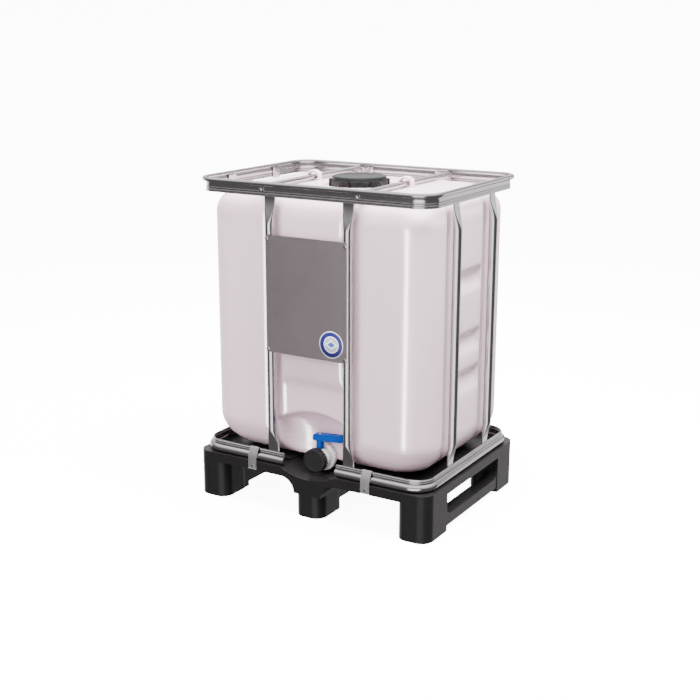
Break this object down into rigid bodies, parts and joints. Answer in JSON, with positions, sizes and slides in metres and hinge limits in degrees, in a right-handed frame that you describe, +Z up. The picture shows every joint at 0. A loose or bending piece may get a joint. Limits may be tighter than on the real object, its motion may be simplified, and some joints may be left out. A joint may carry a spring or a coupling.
{
  "type": "intermediate bulk container",
  "caption": "Small liquid container: a plastic tank in a tubular steel frame on a moulded pallet, with a screw lid on top and a lever valve with a screw cap at the front.",
  "frame": {"origin": "middle of the footprint, on the floor", "axes": "+Z up, +X to the right of someone facing the outlet, the outlet faces -Y"},
  "size_m": [0.8, 0.6, 0.9892],
  "materials": {
    "pallet": "satin",
    "tank": "satin",
    "rail": "bright",
    "tube": "bright",
    "plate": "brushed",
    "clip": "satin",
    "fastener": "bright",
    "sticker": "gloss",
    "valve": "satin",
    "lever": "satin",
    "cap": "satin",
    "lid": "satin",
    "seal": "matt"
  },
  "bodies": {
    "container": {"pallet_deck": "pallet", "skid_left": "pallet", "skid_centre": "pallet", "skid_right": "pallet", "skid_screws": "fastener", "tank": "tank", "outlet_fitting": "tank", "bottom_rail": "rail", "top_rail": "rail", "upright_front_left": "tube", "upright_front_right": "tube", "upright_back_left": "tube", "upright_back_right": "tube", "upright_left_front": "tube", "upright_left_back": "tube", "upright_right_front": "tube", "upright_right_back": "tube", "cross_bar_left": "tube", "cross_bar_right": "tube", "cross_bar_bolts": "fastener", "cross_bar_nuts": "fastener", "label_plate": "plate", "plate_rivets": "fastener", "round_sticker": "sticker", "clip_front_left": "clip", "clip_front_right": "clip", "clip_back_left": "clip", "clip_back_right": "clip", "clip_screws": "fastener", "outlet_gasket": "seal", "union_nut": "valve", "valve_body": "valve", "seat_ring": "seal", "stem_seal": "seal"},
    "lever": {"valve_disc": "valve", "valve_stem": "fastener", "valve_handle": "lever", "handle_screw": "fastener"},
    "cap_lift": {"cap_gasket": "seal"},
    "cap": {"outlet_cap": "cap"},
    "lid_lift": {"lid_seal": "seal"},
    "lid": {"screw_lid": "lid"}
  },
  "joints": [
    {"name": "lever_turn", "type": "hinge", "parent": "container", "child": "lever", "pos_m": [0, -0.225, 0.23], "axis": [0, 0, 1], "range_deg": [-90, 0]},
    {"name": "cap_travel", "type": "slide", "parent": "container", "child": "cap_lift", "axis": [0, -1, 0], "range_m": [0, 0.018]},
    {"name": "cap_turn", "type": "hinge", "parent": "cap_lift", "child": "cap", "pos_m": [0, -0.25, 0.165], "axis": [0, -1, 0], "range_deg": [0, 1080]},
    {"name": "lid_travel", "type": "slide", "parent": "container", "child": "lid_lift", "axis": [0, 0, 1], "range_m": [0, 0.024]},
    {"name": "lid_turn", "type": "hinge", "parent": "lid_lift", "child": "lid", "pos_m": [0, 0, 0.965], "axis": [0, 0, 1], "range_deg": [0, 1080]}
  ],
  "couplings": [
    {"joint": "cap_travel", "follows": "cap_turn", "m_per_rad": 0.00095493},
    {"joint": "lid_travel", "follows": "lid_turn", "m_per_rad": 0.0012732}
  ]
}
